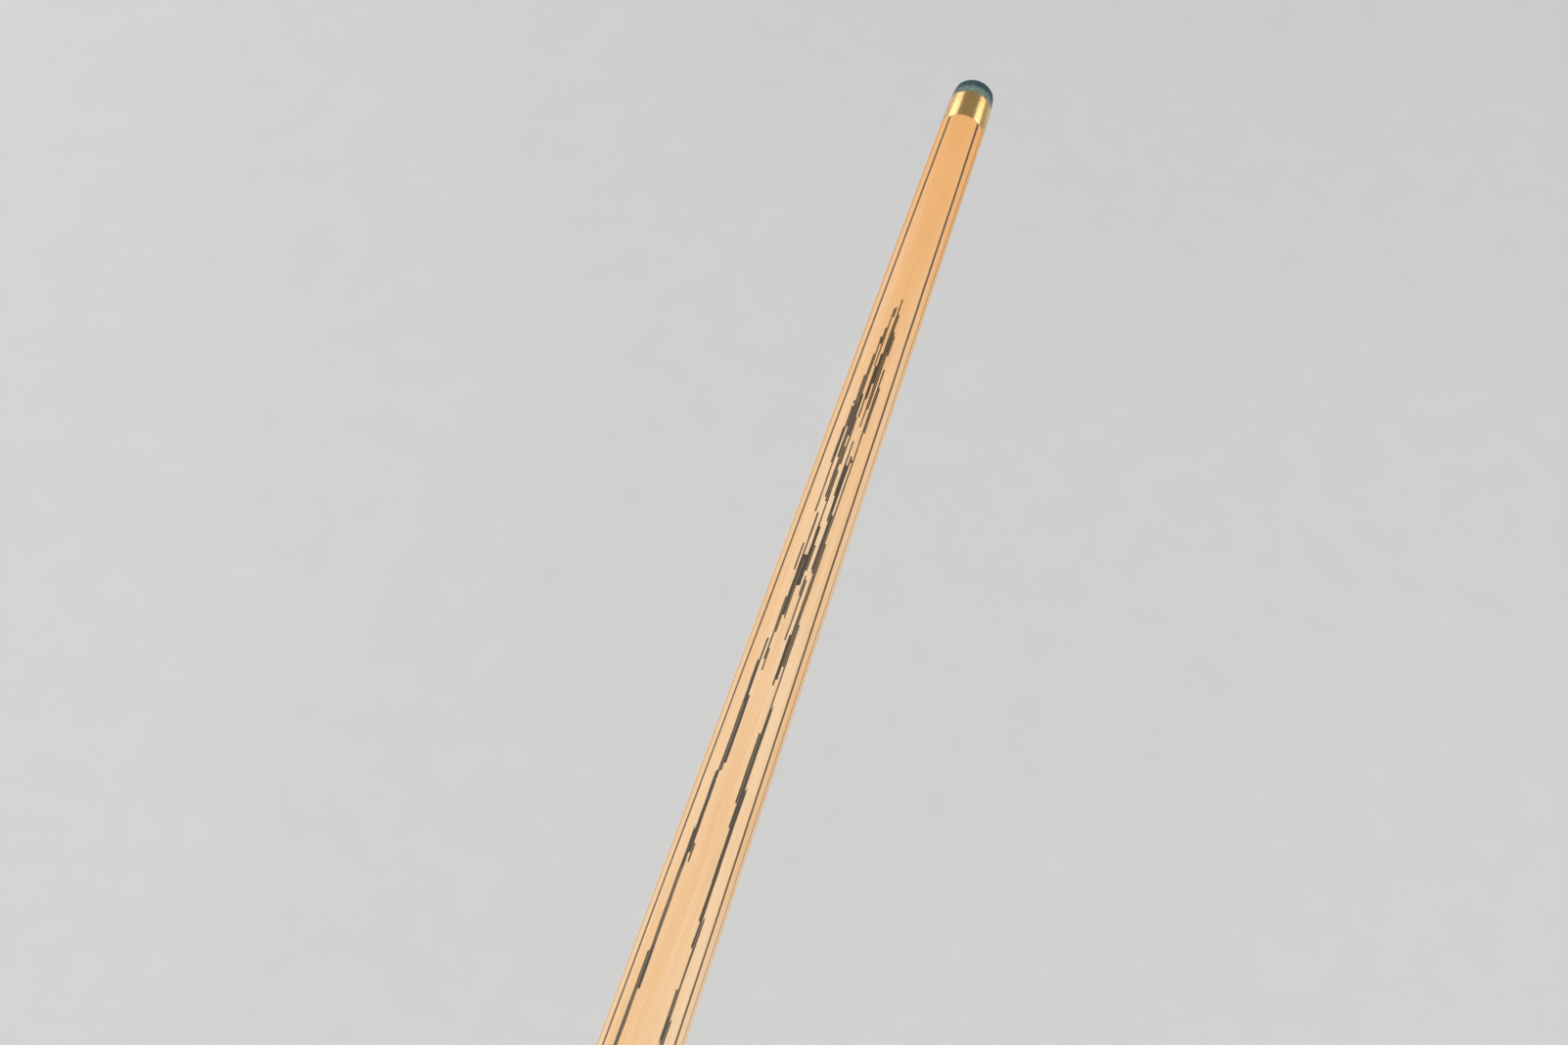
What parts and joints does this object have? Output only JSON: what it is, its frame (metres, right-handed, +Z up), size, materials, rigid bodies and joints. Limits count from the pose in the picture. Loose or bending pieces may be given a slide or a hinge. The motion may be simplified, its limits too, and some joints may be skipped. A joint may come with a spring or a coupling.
{
  "type": "pool cue",
  "caption": "Two-piece ash pool cue with a brass ferrule, leather tip, screw joint and hand-spliced ebony butt with a rubber bumper.",
  "frame": {"origin": "centre of the butt's end face, on the rubber bumper's ring", "axes": "+X along the cue from the butt to the tip, +Z up, out of the flat and the badge, +Y to the left when looking along +X"},
  "size_m": [1.448, 0.029, 0.0282],
  "materials": {
    "tip_leather": "matte, dusted with chalk",
    "brass": "polished, fine turning marks",
    "ash": "oiled ash with dark filled grain",
    "ebony": "polished ebony",
    "rosewood": "polished rosewood",
    "veneer": "polished maple veneer",
    "rubber": "matte",
    "steel": "zinc-bright steel"
  },
  "bodies": {
    "butt": {"butt_core": "ash", "veneer_1": "veneer", "veneer_2": "veneer", "veneer_3": "veneer", "veneer_4": "veneer", "ebony_splice_1": "ebony", "ebony_splice_2": "ebony", "ebony_splice_3": "ebony", "ebony_splice_4": "ebony", "front_veneer": "veneer", "front_splice": "rosewood", "badge": "brass", "butt_collar": "brass", "joint_pin": "brass", "end_socket": "brass", "bumper": "rubber"},
    "weight": {"weight_bolt": "steel"},
    "joint_insert": {"shaft_insert": "brass"},
    "shaft": {"shaft_wood": "ash", "shaft_collar": "brass", "ferrule": "brass", "tip": "tip_leather"}
  },
  "joints": [
    {"name": "shaft_travel", "type": "slide", "parent": "butt", "child": "joint_insert", "axis": [1, 0, 0], "range_m": [0, 0.03]},
    {"name": "shaft_turn", "type": "hinge", "parent": "joint_insert", "child": "shaft", "pos_m": [0.406, 0, 0], "axis": [1, 0, 0], "range_deg": [0, 3402]},
    {"name": "weight_travel", "type": "slide", "parent": "butt", "child": "weight", "axis": [1, 0, 0], "range_m": [-0.012, 0.025]}
  ],
  "couplings": [
    {"joint": "shaft_turn", "follows": "shaft_travel", "rad_per_m": 1979}
  ]
}
